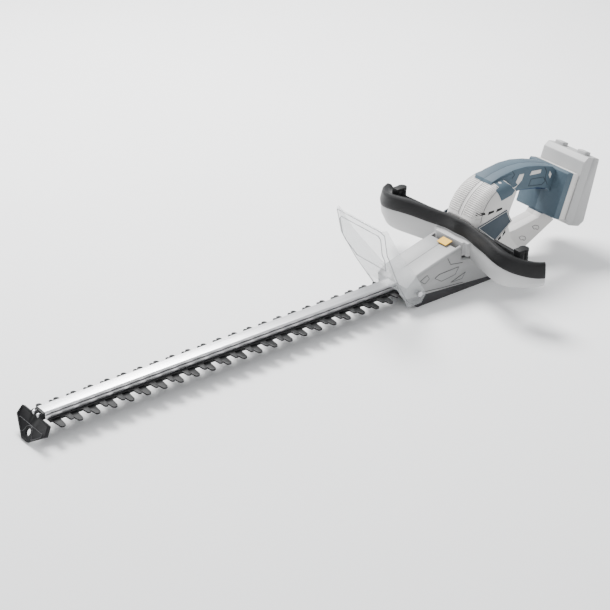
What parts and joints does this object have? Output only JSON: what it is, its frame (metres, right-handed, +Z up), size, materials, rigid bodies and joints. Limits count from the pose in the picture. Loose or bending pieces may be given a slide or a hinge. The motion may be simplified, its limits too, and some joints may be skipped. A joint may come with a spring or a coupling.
{
  "type": "cordless hedge trimmer",
  "caption": "Cordless hedge trimmer with a long double-sided sliding blade, clear hand guard, wide front handle, looped rear handle with trigger, and a slide-on battery pack.",
  "frame": {"origin": "on the floor, under the middle of the tool's length and width", "axes": "+X towards the blade tip, +Y to the tool's left side, +Z up"},
  "size_m": [0.9135, 0.331, 0.1486],
  "materials": {
    "aluminium_bar": "satin",
    "blade_steel": "dark ground steel",
    "bolt_steel": "zinc plated",
    "gear_steel": "machined",
    "black_plastic": "satin",
    "white_plastic": "fine grain",
    "grey_plastic": "fine grain",
    "dark_grey_plastic": "fine grain",
    "soft_blue_grey": "soft matt",
    "soft_black": "soft satin",
    "navy_plastic": "satin",
    "slate_badge": "satin",
    "yellow_label": "printed film",
    "clear_plastic": "clear polished",
    "pale_plastic": "fine grain",
    "board_green": "lacquered",
    "copper": "tinned",
    "cell_wrap": "shrink wrap over metal cans"
  },
  "bodies": {
    "tool": {"rail": "aluminium_bar", "blade_bolts": "bolt_steel", "tip_guard": "black_plastic", "tip_guard_screws": "bolt_steel", "gearbox_cover_left": "grey_plastic", "gearbox_cover_right": "grey_plastic", "bottom_cover": "dark_grey_plastic", "bottom_cover_screws": "bolt_steel", "gearbox_plate": "aluminium_bar", "lower_bearing": "bolt_steel", "upper_bearing": "bolt_steel", "motor_can": "gear_steel", "body_left": "white_plastic", "body_right": "white_plastic", "housing_screws": "bolt_steel", "grip_left": "soft_blue_grey", "grip_right": "soft_blue_grey", "badge_left": "slate_badge", "badge_right": "slate_badge", "control_board": "board_green", "trigger_pin": "bolt_steel", "trigger_spring": "bolt_steel", "trigger_switch": "black_plastic", "front_handle_grip": "soft_black", "front_handle_core": "dark_grey_plastic", "front_handle_shell": "grey_plastic", "lever_bracket_left": "black_plastic", "lever_bracket_right": "black_plastic", "lever_pins": "bolt_steel", "warning_label": "yellow_label", "hand_guard": "clear_plastic", "hand_guard_screws": "bolt_steel", "terminal_block": "black_plastic", "socket_contacts": "copper"},
    "upper_blade_slider": {"upper_blade": "blade_steel"},
    "lower_blade_slider": {"lower_blade": "blade_steel"},
    "gear_rotor": {"drive_gear": "gear_steel", "upper_eccentric": "gear_steel", "lower_eccentric": "gear_steel", "gear_shaft": "gear_steel"},
    "motor_rotor": {"rotor_shaft": "gear_steel", "rotor_core": "copper", "cooling_fan": "black_plastic", "motor_pinion": "gear_steel"},
    "trigger_lever": {"trigger": "navy_plastic"},
    "left_paddle": {"lever_left": "black_plastic"},
    "right_paddle": {"lever_right": "black_plastic"},
    "battery_pack": {"battery_front": "pale_plastic", "battery_back": "pale_plastic", "battery_cells": "cell_wrap"},
    "left_latch": {"latch_button_left": "pale_plastic"},
    "right_latch": {"latch_button_right": "pale_plastic"}
  },
  "joints": [
    {"name": "upper_blade_slide", "type": "slide", "parent": "tool", "child": "upper_blade_slider", "axis": [1, 0, 0], "range_m": [-0.008, 0.008]},
    {"name": "lower_blade_slide", "type": "slide", "parent": "tool", "child": "lower_blade_slider", "axis": [1, 0, 0], "range_m": [-0.008, 0.008]},
    {"name": "gear_spin", "type": "hinge", "parent": "tool", "child": "gear_rotor", "pos_m": [-0.21837, 0, 0.03], "axis": [0, 0, 1], "continuous": true},
    {"name": "rotor_spin", "type": "hinge", "parent": "tool", "child": "motor_rotor", "pos_m": [-0.25087, 0, 0.03], "axis": [0, 0, 1], "continuous": true},
    {"name": "trigger_squeeze", "type": "hinge", "parent": "tool", "child": "trigger_lever", "pos_m": [-0.37537, 0, 0.11], "axis": [0, -1, 0], "range_deg": [0, 5], "stiffness_Nm_per_rad": 0.6, "springref_deg": -17.19, "deforming": ["trigger_spring"]},
    {"name": "left_paddle_squeeze", "type": "hinge", "parent": "tool", "child": "left_paddle", "pos_m": [-0.23237, 0.124, 0.075], "axis": [0, 0, 1], "range_deg": [0, 5], "stiffness_Nm_per_rad": 0.1, "springref_deg": -11.46},
    {"name": "right_paddle_squeeze", "type": "hinge", "parent": "tool", "child": "right_paddle", "pos_m": [-0.23237, -0.124, 0.075], "axis": [0, 0, -1], "range_deg": [0, 5], "stiffness_Nm_per_rad": 0.1, "springref_deg": -11.46},
    {"name": "battery_slide", "type": "slide", "parent": "tool", "child": "battery_pack", "axis": [-0.3387, 0, 0.9409], "range_m": [0, 0.075]},
    {"name": "left_latch_press", "type": "slide", "parent": "battery_pack", "child": "left_latch", "axis": [0.3387, 0, -0.9409], "range_m": [0, 0.003], "stiffness_N_per_m": 400, "springref_m": -0.002},
    {"name": "right_latch_press", "type": "slide", "parent": "battery_pack", "child": "right_latch", "axis": [0.3387, 0, -0.9409], "range_m": [0, 0.003], "stiffness_N_per_m": 400, "springref_m": -0.002}
  ],
  "couplings": [
    {"joint": "lower_blade_slide", "follows": "upper_blade_slide", "ratio": -1},
    {"joint": "rotor_spin", "follows": "gear_spin", "ratio": -4},
    {"joint": "right_paddle_squeeze", "follows": "left_paddle_squeeze", "ratio": 1}
  ]
}
